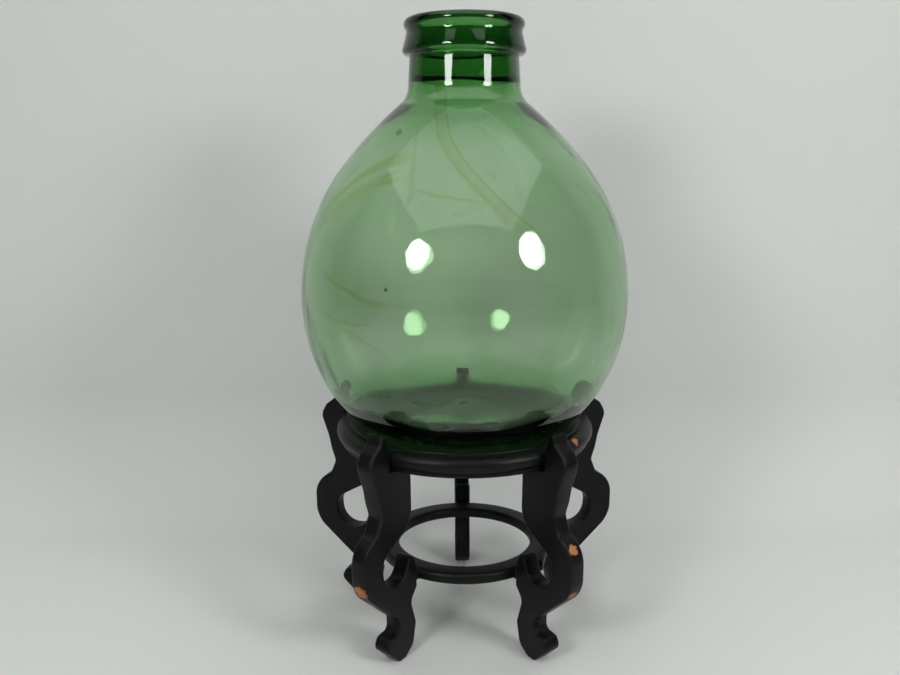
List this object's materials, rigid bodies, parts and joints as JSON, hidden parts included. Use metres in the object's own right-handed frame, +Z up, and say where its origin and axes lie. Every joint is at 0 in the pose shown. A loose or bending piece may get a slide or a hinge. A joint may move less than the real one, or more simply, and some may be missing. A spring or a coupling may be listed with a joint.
{
  "type": "glass carboy on stand",
  "caption": "Round green glass carboy with a wide collared mouth, resting in a carved dark wooden stand with scrolled legs.",
  "frame": {"origin": "on the carboy's axis, on the floor under the stand's feet", "axes": "+Z up along the carboy's axis, +Y towards the back leg, so that two legs stand at the front, towards -Y"},
  "size_m": [0.3412, 0.3455, 0.6327],
  "materials": {
    "green_glass": "clear pale green, darker where thick",
    "dark_wood": "black-brown stain, satin, rubbed at the edges",
    "peg_wood": "bare"
  },
  "bodies": {
    "stand": {"seat_ring": "dark_wood", "lower_ring": "dark_wood", "leg_back": "dark_wood", "leg_left": "dark_wood", "leg_front_left": "dark_wood", "leg_front_right": "dark_wood", "leg_right": "dark_wood", "seat_peg_back": "peg_wood", "seat_peg_left": "peg_wood", "seat_peg_front_left": "peg_wood", "seat_peg_front_right": "peg_wood", "seat_peg_right": "peg_wood", "ring_peg_back": "peg_wood", "ring_peg_left": "peg_wood", "ring_peg_front_left": "peg_wood", "ring_peg_front_right": "peg_wood", "ring_peg_right": "peg_wood"},
    "carboy": {"glass_carboy": "green_glass"}
  },
  "joints": [
    {"name": "carboy_lift", "type": "slide", "parent": "stand", "child": "carboy", "axis": [0, 0, 1], "range_m": [0, 0.12]}
  ]
}
